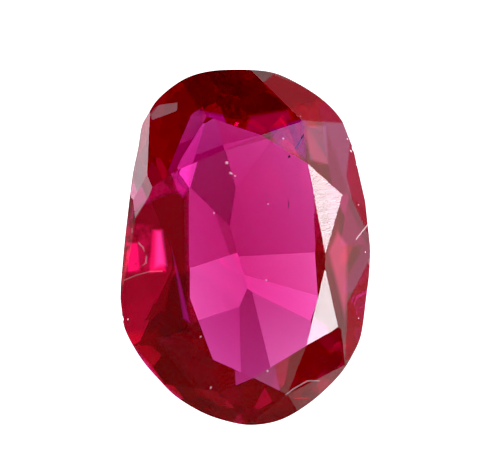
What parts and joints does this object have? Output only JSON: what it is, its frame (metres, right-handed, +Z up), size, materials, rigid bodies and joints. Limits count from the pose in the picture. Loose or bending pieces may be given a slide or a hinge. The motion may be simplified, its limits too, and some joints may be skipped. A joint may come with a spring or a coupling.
{
  "type": "faceted oval gemstone",
  "caption": "Slightly lopsided oval faceted gemstone in clear pink-red tourmaline, with a flat table, a low crown and a deep keeled pavilion, lying on one pavilion facet.",
  "frame": {"origin": "bottom centre of the stone's box as it rests", "axes": "+X along the stone's length, towards the narrower north end; +Z up; the table leans 35 degrees from level and faces -Y"},
  "size_m": [0.0094, 0.0056, 0.0047],
  "materials": {
    "gemstone": "polished clear pink-red tourmaline, faint polishing lines, a small feather inside"
  },
  "bodies": {
    "root": {"gemstone": "gemstone"}
  },
  "joints": []
}
